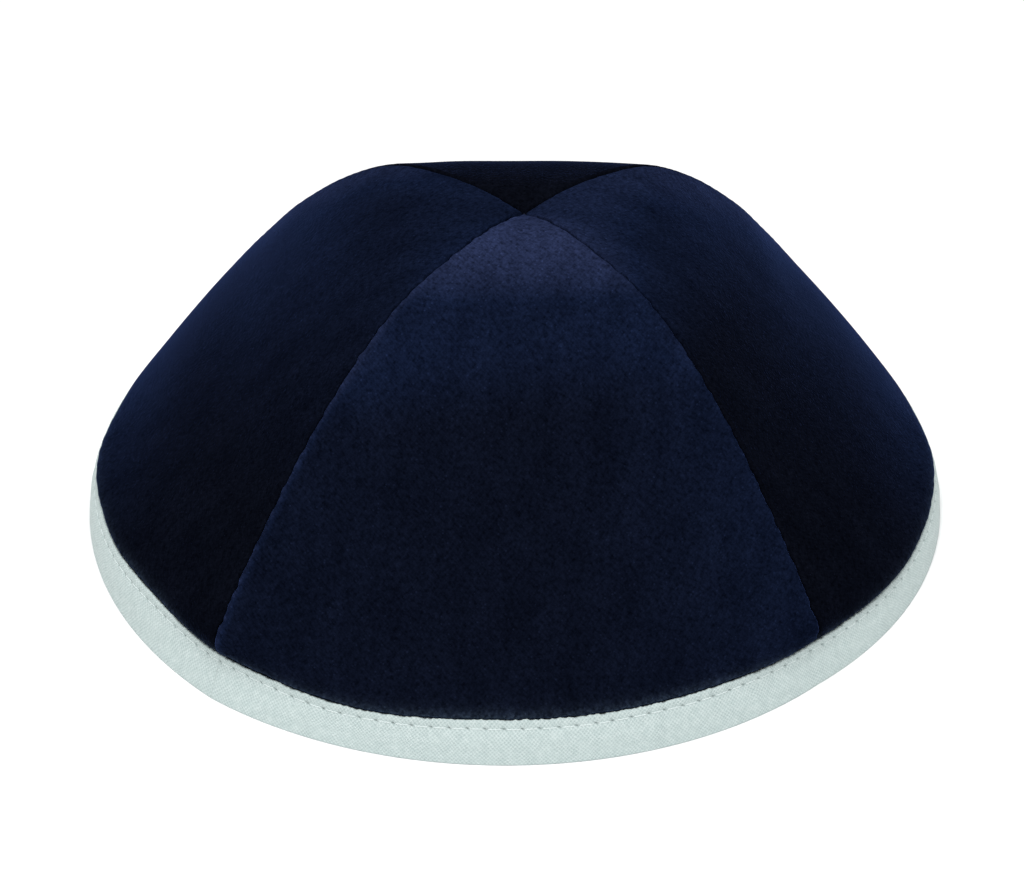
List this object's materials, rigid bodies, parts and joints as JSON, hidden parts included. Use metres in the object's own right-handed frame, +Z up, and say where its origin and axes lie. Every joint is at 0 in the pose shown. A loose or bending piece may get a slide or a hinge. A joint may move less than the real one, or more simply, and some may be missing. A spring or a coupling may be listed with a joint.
{
  "type": "kippah skullcap",
  "caption": "Domed velvet skullcap of pointed crown panels sewn edge to edge, its rim bound with a folded strip of pale bias tape.",
  "frame": {"origin": "centre of the cap's bounding box, on the surface the rim rests on", "axes": "+Z up through the crown, -Y towards the front panel, +X towards the wearer's left"},
  "size_m": [0.1614, 0.1652, 0.0642],
  "materials": {
    "velvet": "navy cotton velvet with a short dense pile",
    "bias_tape": "pale mint plain-weave cotton tape cut on the bias"
  },
  "bodies": {
    "root": {"panel_front": "velvet", "panel_right": "velvet", "panel_back": "velvet", "panel_left": "velvet", "rim_binding": "bias_tape"}
  },
  "joints": []
}
